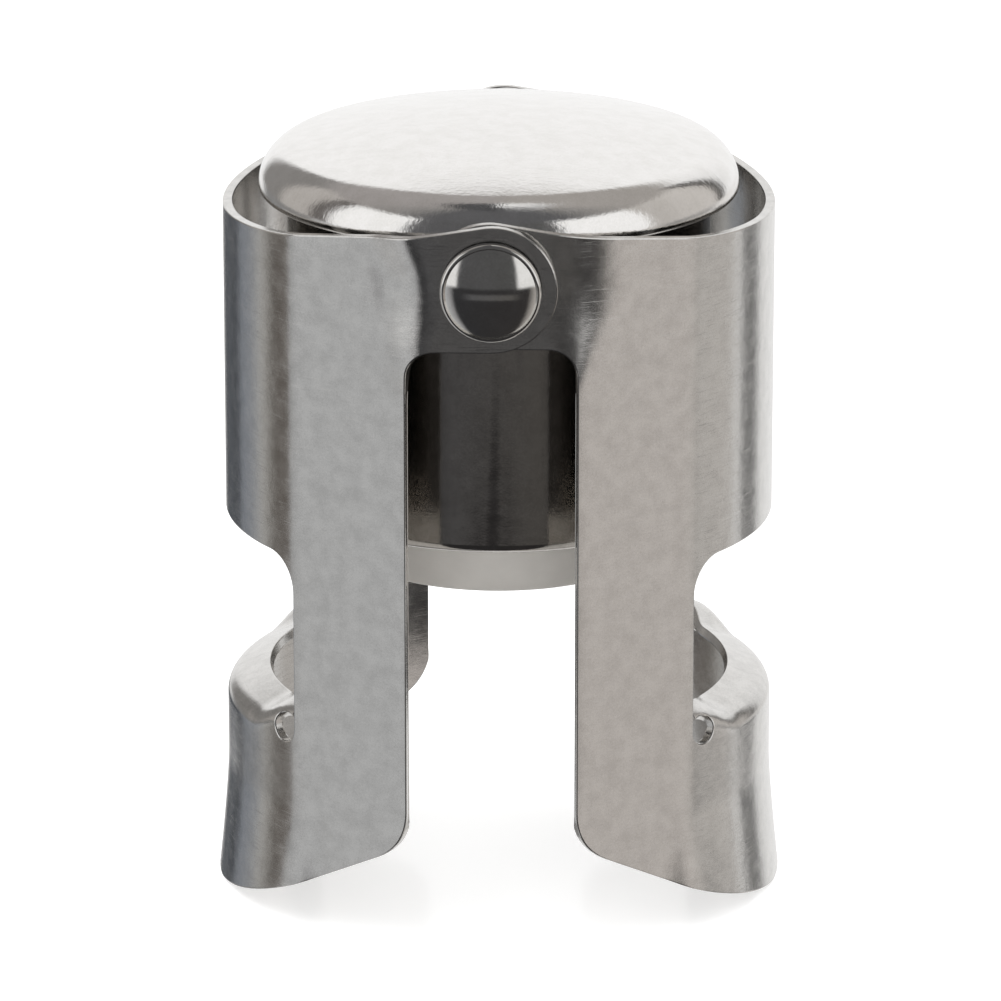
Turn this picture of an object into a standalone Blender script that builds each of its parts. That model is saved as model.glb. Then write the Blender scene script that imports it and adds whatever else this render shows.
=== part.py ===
"""Champagne stopper: a sprung seal in a steel cup, held down by two hinged side arms.

Blender 4.5, metres, +Z up. The stopper stands on the feet of its arms with its axis on
world Z. The arms swing about one pivot line along Y, and the front rivet is at -Y.
"""

import math

import bmesh
import bpy
from mathutils import Matrix, Vector

# Fits between pieces
RUNNING_GAP = 0.00025         # round a shank, and between faces that rub
SWING_GAP = 0.00245           # between the dome's edge and the inside of the arms

# Cup and dome
CUP_RADIUS = 0.0172
CUP_WALL = 0.0008
CUP_CORNER = 0.0015
MOUTH_HEIGHT = 0.0323         # lower edge of the cup above the table
MOUTH_CURL = 0.0009           # how far that edge turns inwards
DOME_OVERHANG = 0.0019        # dome beyond the cup
DOME_WALL = 0.0008
DOME_DEPTH = 0.0055           # edge to crown
DOME_SHOULDER = 0.0035

# Pivot: rivets and the bushes that hold the ears off the cup
PIVOT_HEIGHT = 0.0557
SHANK_RADIUS = 0.0014
BUSH_WALL = 0.0005
HEAD_RADIUS = 0.0040
HEAD_EDGE = 0.0005
HEAD_CROWN = 0.0010
TAIL_RADIUS = 0.0022
TAIL_LENGTH = 0.0008

# Arms: sheet, plan of the shell and its ears
SHEET = 0.0008
EAR_RADIUS = 0.0051
CORNER_RADIUS = 0.0060        # soft corner between the round side and the flat leg
FOLD_RADIUS = 0.0050          # fold between the flat leg and the ear
SIDE_ARC_ANGLE = math.radians(42.5)
CORNER_ANGLE = math.radians(15.0)
EAR_PLANE_SHARE = 0.96        # ear plane from the axis, of the shell's radius
RIM_TILT = math.radians(9.3)

# Arms: cut-outs
WINDOW_HALF_WIDTH = 0.0067    # gap between the legs of the two arms, halved
WINDOW_CORNER = 0.0022
SIDE_EDGE_HEIGHT = 0.0314     # lower edge of the round side
SIDE_CORNER = 0.0030
RELIEF_HEIGHT = 0.0168
RELIEF_RADIUS = 0.00125       # small hole at each end of the lip's bend

# Arms: foot
FOOT_SLOPE = math.radians(30.6)
FOOT_FLAT = 0.0040            # half length of the edge that stands on the table
FOOT_CORNER = 0.0050
FLARE = 0.00085
FLARE_HEIGHT = 0.0100

# Arms: the lip that hooks under the rim of the bottle
LIP_HEIGHT = 0.0153           # where the bend starts at the middle of the foot
LIP_BEND = 0.0016
LIP_ANGLE = math.radians(68.0)
LIP_LENGTH = 0.0046           # along the sheet, from that line to the edge
LIP_CORNER = 0.0012
LIP_SLIT = 0.0005             # between the end of the lip and the leg
LIP_LEVEL_SHARE = 0.65        # middle share of the lip whose bend stays level

# Arms: the joggle that lays one ear over the other
JOGGLE_RUN = 0.0042
JOGGLE_DROP = 0.0050
JOGGLE_CLEAR = 0.0016         # flat metal kept outside the ear's circle

# Plunger, seal and spring
PLUNGER_TRAVEL = 0.0050
PLUNGER_WALL = 0.0014
PLUNGER_FLOOR = 0.0024
SEAT_RING_HEIGHT = 0.0015
SEAT_RING_WALL = 0.0016
SEAL_DROP = 0.0046            # seal below the mouth of the cup
SEAL_NOSE_RADIUS = 0.0127
SEAL_EDGE = 0.0008
STUD_RADIUS = 0.0036
STUD_HEAD_RADIUS = 0.0050
STUD_HEAD_HEIGHT = 0.0014
SPRING_RADIUS = 0.0095        # to the middle of the wire
WIRE_RADIUS = 0.0006
SPRING_TURNS = 6.0

# Facets
ROUND_STEPS = 64
SMALL_ROUND_STEPS = 24
ARC_STEPS = 5
SHORT_ARC_STEPS = 3
SIDE_STEPS = 10               # half of an arm's round side
SPRING_STEPS = 20             # to a turn
WIRE_STEPS = 8
MERGE_DISTANCE = 1e-7
SHORTEST_EDGE = 0.00006       # the flat sheet's points nearer than this become one
CUTTER_OVERRUN = 0.0100
NUDGE_SHARE = 0.05            # of the sheet, the step that finds which way it faces

# Sizes that follow from those above
EYE_RADIUS = SHANK_RADIUS + RUNNING_GAP
BUSH_RADIUS = EYE_RADIUS + BUSH_WALL
DOME_RADIUS = CUP_RADIUS + DOME_OVERHANG
DOME_EDGE_HEIGHT = PIVOT_HEIGHT + BUSH_RADIUS + RUNNING_GAP
DOME_INNER_SHOULDER = DOME_SHOULDER - DOME_WALL
CUP_TOP = DOME_EDGE_HEIGHT + DOME_WALL / 2 + DOME_INNER_SHOULDER - RUNNING_GAP
CUP_INNER_RADIUS = CUP_RADIUS - CUP_WALL
MOUTH_RADIUS = CUP_INNER_RADIUS - MOUTH_CURL
SHELL_RADIUS = DOME_RADIUS + SWING_GAP + SHEET
EAR_PLANE = SHELL_RADIUS * EAR_PLANE_SHARE
JOGGLE = SHEET + RUNNING_GAP
HEAD_SEAT = EAR_PLANE + JOGGLE + RUNNING_GAP
WINDOW_TOP = PIVOT_HEIGHT - EAR_RADIUS
PLUNGER_RADIUS = CUP_INNER_RADIUS - RUNNING_GAP
PLUNGER_BOTTOM = MOUTH_HEIGHT + CUP_WALL + RUNNING_GAP
PLUNGER_TOP = PIVOT_HEIGHT - TAIL_RADIUS - RUNNING_GAP - PLUNGER_TRAVEL
FLOOR_TOP = PLUNGER_BOTTOM + PLUNGER_FLOOR
SEAL_RADIUS = MOUTH_RADIUS - RUNNING_GAP
SEAL_BOTTOM = MOUTH_HEIGHT - SEAL_DROP


def clear_scene():
    for old in list(bpy.data.objects):
        bpy.data.objects.remove(old, do_unlink=True)


def make_material(name, colour, roughness, metallic):
    material = bpy.data.materials.new(name)
    material.use_nodes = True
    shader = material.node_tree.nodes["Principled BSDF"]
    shader.inputs["Base Color"].default_value = (*colour, 1.0)
    shader.inputs["Roughness"].default_value = roughness
    shader.inputs["Metallic"].default_value = metallic
    return material


def add_object(name, data, material=None, parent=None):
    thing = bpy.data.objects.new(name, data)
    bpy.context.scene.collection.objects.link(thing)
    thing.parent = parent
    if material is not None and not data.materials:
        data.materials.append(material)
    return thing


def add_pivot(name, height, turn=0.0):
    """An empty on a joint's axis, which carries the pieces that move on it."""
    pivot = bpy.data.objects.new(name, None)
    bpy.context.scene.collection.objects.link(pivot)
    pivot.location.z = height
    pivot.rotation_euler.z = turn
    return pivot


def mesh_from(bm, name, sharp_angle=math.radians(35.0)):
    bmesh.ops.recalc_face_normals(bm, faces=bm.faces)
    mesh = bpy.data.meshes.new(name)
    bm.to_mesh(mesh)
    bm.free()
    mesh.shade_smooth()
    mesh.set_sharp_from_angle(angle=sharp_angle)
    return mesh


def arc(centre, radius, start, end, steps=ARC_STEPS):
    """Points of an arc about a centre, both ends included."""
    points = []
    for i in range(steps + 1):
        angle = start + (end - start) * i / steps
        points.append((centre[0] + radius * math.cos(angle), centre[1] + radius * math.sin(angle)))
    return points


def rounded_corner(before, apex, after, radius, steps=ARC_STEPS):
    """The arc that rounds the corner at apex, from the side of before to that of after."""
    apex = Vector(apex)
    back = (Vector(before) - apex).normalized()
    ahead = (Vector(after) - apex).normalized()
    half = back.angle(ahead) / 2
    centre = apex + (back + ahead).normalized() * (radius / math.sin(half))
    start = apex + back * (radius / math.tan(half)) - centre
    end = apex + ahead * (radius / math.tan(half)) - centre
    first = math.atan2(start.y, start.x)
    turn = math.atan2(start.x * end.y - start.y * end.x, start.dot(end))
    return arc(centre, radius, first, first + turn, steps)


def turned(name, outline, steps=ROUND_STEPS):
    """A closed outline of (radius, height) points, turned about Z."""
    bm = bmesh.new()
    verts = [bm.verts.new((radius, 0.0, height)) for radius, height in outline]
    loop = [bm.edges.new((verts[i - 1], verts[i])) for i in range(len(verts))]
    on_axis = [edge for edge in loop if all(v.co.x == 0.0 for v in edge.verts)]
    profile = [edge for edge in loop if edge not in on_axis]
    bmesh.ops.spin(bm, geom=verts + profile, axis=(0, 0, 1), cent=(0, 0, 0),
                   angle=math.tau, steps=steps, use_merge=True)
    bmesh.ops.delete(bm, geom=[e for e in bm.edges if not e.link_faces], context="EDGES")
    bmesh.ops.remove_doubles(bm, verts=bm.verts, dist=MERGE_DISTANCE)
    return mesh_from(bm, name)


def pivot_cutter():
    """A rod along the pivot line that opens the cup's two holes for the rivets."""
    bm = bmesh.new()
    bmesh.ops.create_cone(bm, cap_ends=True, segments=SMALL_ROUND_STEPS, radius1=EYE_RADIUS,
                          radius2=EYE_RADIUS, depth=2 * (CUP_RADIUS + CUTTER_OVERRUN))
    cutter = add_object("pivot_cutter", mesh_from(bm, "pivot_cutter"))
    cutter.location.z = PIVOT_HEIGHT
    cutter.rotation_euler.x = math.pi / 2
    cutter.hide_render = True
    cutter.display_type = "WIRE"
    return cutter


def cut_holes(thing, cutter):
    cut = thing.modifiers.new("rivet_holes", "BOOLEAN")
    cut.operation = "DIFFERENCE"
    cut.object = cutter


# The arm's sheet is drawn flat and then formed. A point of the flat sheet has a station,
# its distance along the plan from the middle of the round side, a height, and a depth
# into the sheet from its outer face.

def plan_stretches():
    """Stretches of the plan as (length, radius, steps), a radius of zero being straight."""
    turned_by = SIDE_ARC_ANGLE + CORNER_ANGLE
    fold_angle = math.pi / 2 - turned_by
    reach = SHELL_RADIUS * math.sin(SIDE_ARC_ANGLE)
    reach += CORNER_RADIUS * (math.sin(turned_by) - math.sin(SIDE_ARC_ANGLE))
    fold_reach = FOLD_RADIUS * (1 - math.sin(turned_by))
    flat = (EAR_PLANE - reach - fold_reach) / math.cos(turned_by)
    return [
        (SHELL_RADIUS * SIDE_ARC_ANGLE, SHELL_RADIUS, SIDE_STEPS),
        (CORNER_RADIUS * CORNER_ANGLE, CORNER_RADIUS, 3),
        (flat, 0.0, 8),
        (FOLD_RADIUS * fold_angle, FOLD_RADIUS, 5),
        (2 * SHELL_RADIUS, 0.0, 1),
    ]


PLAN = plan_stretches()


def plan_at(station):
    """Place on the outer face and the angle of the outward normal, in the half where y > 0."""
    x, y, angle = SHELL_RADIUS, 0.0, 0.0
    left = station
    for length, radius, _ in PLAN:
        step = min(left, length)
        if radius:
            turned_to = angle + step / radius
            x += radius * (math.cos(turned_to) - math.cos(angle))
            y += radius * (math.sin(turned_to) - math.sin(angle))
            angle = turned_to
        else:
            x -= step * math.sin(angle)
            y += step * math.cos(angle)
        left -= step
        if left <= 0.0:
            break
    return x, y, angle


def station_at(x):
    """The station whose place is x from the pivot line, found by halving."""
    low, high = 0.0, sum(length for length, _, _ in PLAN)
    for _ in range(50):
        middle = (low + high) / 2
        if plan_at(middle)[0] > x:
            low = middle
        else:
            high = middle
    return (low + high) / 2


def plan_columns():
    """Stations where the sheet is divided so that it can bend."""
    columns = []
    start = 0.0
    for length, _, steps in PLAN[:-1]:
        columns += [start + length * (i + 1) / steps for i in range(steps)]
        start += length
    return columns


COLUMNS = plan_columns()
EAR_STATION = station_at(0.0)
LEG_STATION = COLUMNS[SIDE_STEPS]     # outer edge of the leg, just past the round side
RELIEF_STATION = LEG_STATION - RELIEF_RADIUS
LIP_END_STATION = LEG_STATION - LIP_SLIT
LIP_EDGE_HEIGHT = LIP_HEIGHT + LIP_LENGTH
JOGGLE_END = station_at(EAR_RADIUS + JOGGLE_CLEAR)


def ease(share):
    """A smooth step from 0 to 1."""
    share = min(max(share, 0.0), 1.0)
    return share * share * (3 - 2 * share)


def rim_height(station):
    """The rim is a tilted plane that touches the circle of the ear."""
    x = plan_at(station)[0]
    return PIVOT_HEIGHT + EAR_RADIUS / math.cos(RIM_TILT) - x * math.tan(RIM_TILT)


def foot_height(x):
    """Lower edge of the leg and foot, a tilted plane that ends at the flat of the foot."""
    return max(0.0, math.tan(FOOT_SLOPE) * (plan_at(FOOT_FLAT)[0] - x))


def on_column(point):
    """Move a point that is next to a column onto it, so that no sliver lies between."""
    station, height = point
    column = min(COLUMNS, key=lambda place: abs(place - station))
    return (column if abs(column - station) < SHORTEST_EDGE else station, height)


def half_blank():
    """Outline of half the flat sheet, from the middle of the round side to the eye."""
    eye_centre = (EAR_STATION, PIVOT_HEIGHT)
    rim_end = station_at(EAR_RADIUS * math.sin(RIM_TILT))
    rim = [(s, rim_height(s)) for s in [0.0] + COLUMNS if s < rim_end - MERGE_DISTANCE]
    ear = arc(eye_centre, EAR_RADIUS, math.pi / 2 + RIM_TILT, math.pi / 2, SHORT_ARC_STEPS)
    ear += arc(eye_centre, EYE_RADIUS, math.pi / 2, 3 * math.pi / 2, 2 * ARC_STEPS)
    ear.append((EAR_STATION, WINDOW_TOP))

    top = (0.0, WINDOW_TOP)
    apex = (WINDOW_HALF_WIDTH, WINDOW_TOP)
    foot_apex = (WINDOW_HALF_WIDTH, foot_height(WINDOW_HALF_WIDTH))
    leg_x = plan_at(LEG_STATION)[0]
    along_foot = (leg_x, foot_height(leg_x))
    window = rounded_corner(top, apex, foot_apex, WINDOW_CORNER)
    toe = rounded_corner(apex, foot_apex, along_foot, FOOT_CORNER)
    inner_edge = [(station_at(x), height) for x, height in window + toe]

    sole_start = station_at(toe[-1][0])
    sole = [s for s in reversed(COLUMNS) if FOOT_FLAT < s < sole_start - MERGE_DISTANCE]
    sole = [(s, foot_height(plan_at(s)[0])) for s in sole]
    sole += [(FOOT_FLAT, 0.0), (0.0, 0.0)]

    lip_corner = (LIP_END_STATION, LIP_EDGE_HEIGHT)
    slit_end = math.acos((LIP_END_STATION - RELIEF_STATION) / RELIEF_RADIUS)
    lip = [(0.0, LIP_EDGE_HEIGHT)]
    lip += rounded_corner((0.0, LIP_EDGE_HEIGHT), lip_corner, (LIP_END_STATION, 0.0), LIP_CORNER)
    lip += arc((RELIEF_STATION, RELIEF_HEIGHT), RELIEF_RADIUS, slit_end, math.tau, 3 * ARC_STEPS)

    side_apex = (LEG_STATION, SIDE_EDGE_HEIGHT)
    side = rounded_corner((LEG_STATION, RELIEF_HEIGHT), side_apex, (0.0, SIDE_EDGE_HEIGHT),
                          SIDE_CORNER)
    side.append((0.0, SIDE_EDGE_HEIGHT))
    return [on_column(point) for point in rim + ear + inner_edge + sole + lip + side]


def ear_end():
    """Outline of the rest of the ear, past the middle of the eye."""
    eye_centre = (EAR_STATION, PIVOT_HEIGHT)
    outline = arc(eye_centre, EAR_RADIUS, math.pi / 2, -math.pi / 2, 4 * ARC_STEPS)
    return outline + arc(eye_centre, EYE_RADIUS, -math.pi / 2, math.pi / 2, 2 * ARC_STEPS)


def lip_line(station):
    """Height where the lip starts to bend: level at the middle, rising to the reliefs."""
    level = RELIEF_STATION * LIP_LEVEL_SHARE
    rise = RELIEF_HEIGHT - LIP_HEIGHT
    return LIP_HEIGHT + rise * ease((station - level) / (RELIEF_STATION - level))


def lip_bend(station, height):
    """How far inwards the sheet has turned, and its height once turned."""
    line = lip_line(station)
    past_end = station > LEG_STATION - LIP_SLIT / 2
    if past_end or height <= line or height > SIDE_EDGE_HEIGHT - SIDE_CORNER:
        return 0.0, height
    run = height - line
    angle = min(run / LIP_BEND, LIP_ANGLE)
    straight = max(run - LIP_BEND * LIP_ANGLE, 0.0)
    inward = LIP_BEND * (1 - math.cos(angle)) + straight * math.sin(angle)
    return inward, line + LIP_BEND * math.sin(angle) + straight * math.cos(angle)


def flare_out(station, height):
    """The foot widens towards the table, and stays straight at the leg's inner edge."""
    leg_inner = station_at(WINDOW_HALF_WIDTH)
    fade = 1 - ease((station - LEG_STATION) / (leg_inner - LEG_STATION))
    return FLARE * fade * max(0.0, 1 - height / FLARE_HEIGHT)


def joggle_out(station, height):
    """Step that carries the outer ear over the inner one."""
    along = ease((station - JOGGLE_END) / JOGGLE_RUN + 1)
    up = ease((height - WINDOW_TOP) / JOGGLE_DROP + 1)
    return JOGGLE * along * up


def formed_outer(station, height):
    """Place of a point of the outer face once the sheet is formed."""
    half = abs(station)
    x, y, angle = plan_at(half)
    inward, level = lip_bend(half, height)
    out = flare_out(half, height) - inward
    x += out * math.cos(angle)
    y += out * math.sin(angle)
    if station > 0.0:
        return Vector((x, y + joggle_out(half, height), level))
    return Vector((x, -y, level))


def formed(point):
    """Carry a point of the flat sheet to its place, set in along the face's normal."""
    station, height, depth = point
    place = formed_outer(station, height)
    if depth == 0.0:
        return place
    nudge = SHEET * NUDGE_SHARE
    back = math.copysign(nudge, station)
    down = math.copysign(nudge, height - lip_line(abs(station)))
    along = place - formed_outer(station - back, height)
    up = place - formed_outer(station, height - down)
    facing = along.cross(up) * math.copysign(1.0, back * down)
    return place - facing.normalized() * depth


def divide(bm, direction, places, wanted=None):
    """Divide the faces across a direction at each place, or only the wanted ones."""
    for place in places:
        faces = [f for f in bm.faces if wanted is None or wanted(f.calc_center_bounds())]
        edges = {edge for face in faces for edge in face.edges}
        verts = {vert for face in faces for vert in face.verts}
        bmesh.ops.bisect_plane(bm, geom=list(verts) + list(edges) + faces,
                               dist=MERGE_DISTANCE, plane_co=Vector(direction) * place,
                               plane_no=direction)


def arm_mesh():
    """One arm about its pivot: the round side at +X, the inner ear in front."""
    bm = bmesh.new()
    for outline in (half_blank(), ear_end()):
        bm.faces.new([bm.verts.new((s, h, 0.0)) for s, h in outline])
    bmesh.ops.remove_doubles(bm, verts=bm.verts, dist=MERGE_DISTANCE)
    bmesh.ops.mirror(bm, geom=bm.verts[:] + bm.edges[:] + bm.faces[:],
                     matrix=Matrix.Identity(4), merge_dist=MERGE_DISTANCE, axis="X")
    divide(bm, (1, 0, 0), COLUMNS + [-s for s in COLUMNS])

    relief_bottom = RELIEF_HEIGHT - RELIEF_RADIUS
    divide(bm, (0, 1, 0), [FLARE_HEIGHT, relief_bottom])
    flare_rows = [FLARE_HEIGHT * i / 4 for i in range(1, 4)]
    divide(bm, (0, 1, 0), flare_rows, lambda centre: centre.y < FLARE_HEIGHT)
    lip_rows = [LIP_HEIGHT + LIP_LENGTH * i / 10 for i in range(10)]
    divide(bm, (0, 1, 0), lip_rows, lambda centre: FLARE_HEIGHT < centre.y < relief_bottom
           or abs(centre.x) < LEG_STATION - LIP_SLIT / 2 and centre.y < LIP_EDGE_HEIGHT)

    divide(bm, (0, 1, 0), [WINDOW_TOP - JOGGLE_DROP * i / 5 for i in range(6)] + [PIVOT_HEIGHT])
    bmesh.ops.remove_doubles(bm, verts=bm.verts, dist=SHORTEST_EDGE)

    sheet = bmesh.ops.extrude_face_region(bm, geom=bm.faces[:])
    inner = [item for item in sheet["geom"] if isinstance(item, bmesh.types.BMVert)]
    bmesh.ops.translate(bm, verts=inner, vec=(0.0, 0.0, SHEET))
    for vert in bm.verts:
        vert.co = formed(vert.co) - Vector((0.0, 0.0, PIVOT_HEIGHT))
    bmesh.ops.triangulate(bm, faces=[f for f in bm.faces if len(f.verts) > 4])
    return mesh_from(bm, "arm")


def add_arms(steel):
    mesh = arm_mesh()
    for name, turn in (("right", 0.0), ("left", math.pi)):
        hinge = add_pivot(name + "_hinge", PIVOT_HEIGHT, turn)
        add_object(name + "_arm", mesh, steel, hinge)


def dome_face(radius, shoulder, top, centre_height):
    """Crown and shoulder of one face of the dome, from the axis out to its edge."""
    shoulder_x = radius - shoulder
    rise = centre_height - top
    crown = (shoulder ** 2 - shoulder_x ** 2 - rise ** 2) / (2 * (rise + shoulder))
    crown_z = top - crown
    meet = math.atan2(centre_height - crown_z, shoulder_x)
    points = arc((0.0, crown_z), crown, math.pi / 2, meet)
    points[0] = (0.0, top)
    return points[:-1] + arc((shoulder_x, centre_height), shoulder, meet, 0.0)


def add_dome(steel):
    """Stamped cap with a low crown, a soft shoulder and a rounded edge."""
    top = DOME_EDGE_HEIGHT + DOME_DEPTH
    bend_height = DOME_EDGE_HEIGHT + DOME_WALL / 2
    outer = dome_face(DOME_RADIUS, DOME_SHOULDER, top, bend_height)
    inner = dome_face(DOME_RADIUS - DOME_WALL, DOME_INNER_SHOULDER, top - DOME_WALL, bend_height)
    edge = arc((DOME_RADIUS - DOME_WALL / 2, bend_height), DOME_WALL / 2, 0.0, -math.pi,
               SHORT_ARC_STEPS)
    outline = outer + edge[1:-1] + inner[::-1]
    add_object("dome_cap", turned("dome_cap", outline), steel)


def add_cup(steel, cutter):
    """Drawn cup, closed at the top and curled in at the mouth to keep the plunger."""
    inner_corner = CUP_CORNER - CUP_WALL
    outline = [(0.0, CUP_TOP)]
    outline += arc((CUP_RADIUS - CUP_CORNER, CUP_TOP - CUP_CORNER), CUP_CORNER, math.pi / 2, 0.0)
    outline += rounded_corner((CUP_RADIUS, CUP_TOP), (CUP_RADIUS, MOUTH_HEIGHT),
                              (MOUTH_RADIUS, MOUTH_HEIGHT), CUP_WALL, SHORT_ARC_STEPS)
    outline += [(MOUTH_RADIUS, MOUTH_HEIGHT), (MOUTH_RADIUS, MOUTH_HEIGHT + CUP_WALL)]
    outline += [(CUP_INNER_RADIUS, MOUTH_HEIGHT + CUP_WALL)]
    outline += arc((CUP_INNER_RADIUS - inner_corner, CUP_TOP - CUP_CORNER), inner_corner,
                   0.0, math.pi / 2, SHORT_ARC_STEPS)
    outline += [(0.0, CUP_TOP - CUP_WALL)]
    cut_holes(add_object("body_cup", turned("body_cup", outline), steel), cutter)


def add_rivets(steel):
    """Domed head outside the ears, shank through the bush, tail spread inside the cup."""
    tail_seat = math.sqrt(CUP_INNER_RADIUS ** 2 - TAIL_RADIUS ** 2) - RUNNING_GAP
    head_radius = (HEAD_RADIUS ** 2 + HEAD_CROWN ** 2) / (2 * HEAD_CROWN)
    half_angle = math.asin(HEAD_RADIUS / head_radius)
    head_base = HEAD_SEAT + HEAD_EDGE
    crown_centre = (0.0, head_base + HEAD_CROWN - head_radius)
    outline = [(0.0, tail_seat - TAIL_LENGTH), (SHANK_RADIUS, tail_seat - TAIL_LENGTH)]
    outline += [(TAIL_RADIUS, tail_seat - TAIL_LENGTH / 2), (TAIL_RADIUS, tail_seat)]
    outline += [(SHANK_RADIUS, tail_seat), (SHANK_RADIUS, HEAD_SEAT), (HEAD_RADIUS, HEAD_SEAT)]
    outline += arc(crown_centre, head_radius, math.pi / 2 - half_angle, math.pi / 2)
    outline[-1] = (0.0, head_base + HEAD_CROWN)
    mesh = turned("rivet", outline, SMALL_ROUND_STEPS)
    for name, turn in (("front_rivet", math.pi / 2), ("rear_rivet", -math.pi / 2)):
        rivet = add_object(name, mesh, steel)
        rivet.location.z = PIVOT_HEIGHT
        rivet.rotation_euler.x = turn


def add_bushes(steel):
    """Short tubes on the shanks that hold the ears off the cup."""
    inner_end = CUP_RADIUS + RUNNING_GAP
    outer_end = EAR_PLANE - SHEET - RUNNING_GAP
    outline = [(EYE_RADIUS, inner_end), (BUSH_RADIUS, inner_end)]
    outline += [(BUSH_RADIUS, outer_end), (EYE_RADIUS, outer_end)]
    mesh = turned("bush", outline, SMALL_ROUND_STEPS)
    for name, turn in (("front_bush", math.pi / 2), ("rear_bush", -math.pi / 2)):
        bush = add_object(name, mesh, steel)
        bush.location.z = PIVOT_HEIGHT
        bush.rotation_euler.x = turn


def add_plunger(plastic, slide):
    """Cup-shaped piston that runs in the steel cup and takes the spring on its floor."""
    bore = STUD_RADIUS + RUNNING_GAP
    ring_outer = SPRING_RADIUS - WIRE_RADIUS - RUNNING_GAP
    ring_top = FLOOR_TOP + SEAT_RING_HEIGHT
    inner_wall = PLUNGER_RADIUS - PLUNGER_WALL
    outline = [(bore, PLUNGER_BOTTOM), (PLUNGER_RADIUS, PLUNGER_BOTTOM)]
    outline += [(PLUNGER_RADIUS, PLUNGER_TOP), (inner_wall, PLUNGER_TOP)]
    outline += [(inner_wall, FLOOR_TOP), (ring_outer, FLOOR_TOP), (ring_outer, ring_top)]
    outline += [(ring_outer - SEAT_RING_WALL, ring_top), (ring_outer - SEAT_RING_WALL, FLOOR_TOP)]
    outline += [(bore, FLOOR_TOP)]
    plunger = add_object("plunger", turned("plunger", outline), plastic, slide)
    plunger.location.z = -slide.location.z


def add_seal(silicone, slide):
    """Soft plug under the plunger, buttoned through its floor."""
    seal_top = PLUNGER_BOTTOM - RUNNING_GAP
    head_bottom = FLOOR_TOP + RUNNING_GAP
    nose = rounded_corner((SEAL_RADIUS, MOUTH_HEIGHT), (SEAL_NOSE_RADIUS, SEAL_BOTTOM),
                          (0.0, SEAL_BOTTOM), SEAL_EDGE)
    outline = [(0.0, head_bottom + STUD_HEAD_HEIGHT)]
    outline += [(STUD_RADIUS, head_bottom + STUD_HEAD_HEIGHT), (STUD_HEAD_RADIUS, head_bottom)]
    outline += [(STUD_RADIUS, head_bottom), (STUD_RADIUS, seal_top), (SEAL_RADIUS, seal_top)]
    outline += [(SEAL_RADIUS, MOUTH_HEIGHT)] + nose + [(0.0, SEAL_BOTTOM)]
    seal = add_object("seal", turned("seal", outline), silicone, slide)
    seal.location.z = -slide.location.z


def add_spring(steel):
    """Compression spring between the plunger's floor and the top of the cup."""
    bottom = FLOOR_TOP + RUNNING_GAP + WIRE_RADIUS
    top = CUP_TOP - CUP_WALL - RUNNING_GAP - WIRE_RADIUS
    steps = int(SPRING_TURNS * SPRING_STEPS)
    bm = bmesh.new()
    place = Matrix.Translation((SPRING_RADIUS, 0.0, bottom)) @ Matrix.Rotation(math.pi / 2, 4, "X")
    wire = bmesh.ops.create_circle(bm, cap_ends=True, radius=WIRE_RADIUS, segments=WIRE_STEPS,
                                   matrix=place)
    edges = list({edge for vert in wire["verts"] for edge in vert.link_edges})
    coil = bmesh.ops.spin(bm, geom=edges, axis=(0, 0, 1), cent=(0, 0, 0), steps=steps,
                          dvec=(0.0, 0.0, (top - bottom) / steps), angle=math.tau * SPRING_TURNS)
    bmesh.ops.contextual_create(bm, geom=[e for e in coil["geom_last"]
                                          if isinstance(e, bmesh.types.BMEdge)])
    add_object("compression_spring", mesh_from(bm, "compression_spring"), steel)


def build():
    clear_scene()
    polished = make_material("polished_steel", (0.62, 0.61, 0.60), 0.18, 1.0)
    brushed = make_material("satin_steel", (0.48, 0.47, 0.46), 0.34, 1.0)
    zinc = make_material("zinc_steel", (0.55, 0.55, 0.56), 0.30, 1.0)
    silicone = make_material("silicone", (0.50, 0.48, 0.45), 0.60, 0.0)
    plastic = make_material("plastic", (0.04, 0.04, 0.045), 0.50, 0.0)

    cutter = pivot_cutter()
    slide = add_pivot("plunger_slide", PLUNGER_BOTTOM)
    add_dome(polished)
    add_cup(brushed, cutter)
    add_rivets(polished)
    add_bushes(zinc)
    add_arms(brushed)
    add_plunger(plastic, slide)
    add_seal(silicone, slide)
    add_spring(zinc)


build()
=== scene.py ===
"""Looks of a champagne stopper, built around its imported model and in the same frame.

Metres, +Z up. The stopper stands on the feet of its arms, with its axis on world Z and
the front rivet at -Y. The sizes repeat those of the solids, in finer steps, apart from a
fuller cap, a fold that widens towards the rim, an ear step that comes nearer to the eye
below, and a flare that runs out sooner on the leg.
"""

import math

import bmesh
import bpy
from mathutils import Matrix, Vector


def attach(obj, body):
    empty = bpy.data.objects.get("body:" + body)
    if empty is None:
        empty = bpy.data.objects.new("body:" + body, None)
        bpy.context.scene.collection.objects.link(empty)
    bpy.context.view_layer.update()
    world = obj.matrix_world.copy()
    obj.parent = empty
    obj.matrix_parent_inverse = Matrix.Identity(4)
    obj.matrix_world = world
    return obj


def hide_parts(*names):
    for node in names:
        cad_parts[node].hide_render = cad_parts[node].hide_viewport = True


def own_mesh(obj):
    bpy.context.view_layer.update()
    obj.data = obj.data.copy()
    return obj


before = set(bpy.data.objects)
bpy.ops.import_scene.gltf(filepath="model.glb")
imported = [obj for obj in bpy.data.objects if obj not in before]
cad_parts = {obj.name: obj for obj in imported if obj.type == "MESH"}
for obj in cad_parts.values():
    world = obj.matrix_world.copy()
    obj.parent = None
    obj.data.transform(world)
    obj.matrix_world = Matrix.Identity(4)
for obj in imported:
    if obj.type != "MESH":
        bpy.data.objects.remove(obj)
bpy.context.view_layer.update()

# Fits between pieces
RUNNING_GAP = 0.00025
SWING_GAP = 0.00245

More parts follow.
